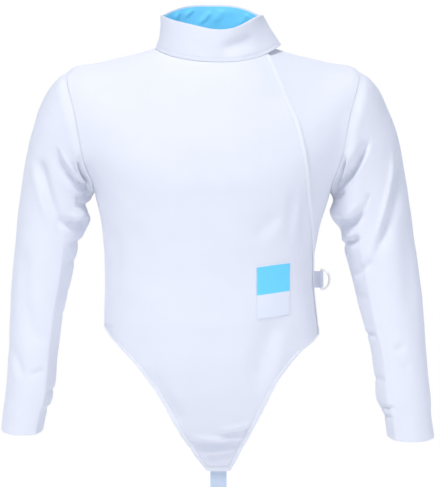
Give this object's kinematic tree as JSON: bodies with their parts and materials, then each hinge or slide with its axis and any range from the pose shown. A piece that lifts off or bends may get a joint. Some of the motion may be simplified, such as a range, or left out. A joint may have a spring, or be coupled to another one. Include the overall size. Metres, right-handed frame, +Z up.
{
  "type": "fencing jacket",
  "caption": "Fencing jacket held in its worn shape: lapped front with a pointed hem, stand collar, two-piece sleeves, strap loop and D-ring tab.",
  "frame": {"origin": "middle of the neck, level with the collar seam at the shoulders, where the wearer holds the jacket up", "axes": "+Z up, the front faces -Y, and the wearer's left is +X"},
  "size_m": [0.654, 0.2377, 0.7331],
  "materials": {
    "white_cloth": "bright white tightly woven cloth with a soft bluish cast",
    "blue_lining": "smooth bright blue lining",
    "binding_tape": "white stitched band",
    "patch": "plain sewn patch, light blue over white",
    "grey_elastic": "pale grey-blue ribbed elastic",
    "white_webbing": "white woven webbing",
    "steel_wire": "bright plated wire"
  },
  "bodies": {
    "jacket": {"front": "white_cloth", "underlap": "white_cloth", "back": "white_cloth", "sleeve_left_upper": "white_cloth", "sleeve_left_under": "white_cloth", "gusset_left": "white_cloth", "sleeve_right_upper": "white_cloth", "sleeve_right_under": "white_cloth", "gusset_right": "white_cloth", "collar": "white_cloth", "collar_lining": "blue_lining", "point_binding": "binding_tape", "closing_band": "binding_tape", "patch": "patch", "strap_loop": "grey_elastic", "ring_tab": "white_webbing"},
    "ring": {"d_ring": "steel_wire"}
  },
  "joints": [
    {"name": "d_ring_swing", "type": "hinge", "parent": "jacket", "child": "ring", "pos_m": [0.16443, 0, -0.341], "axis": [0, 0, 1], "range_deg": [-90, 90]}
  ]
}
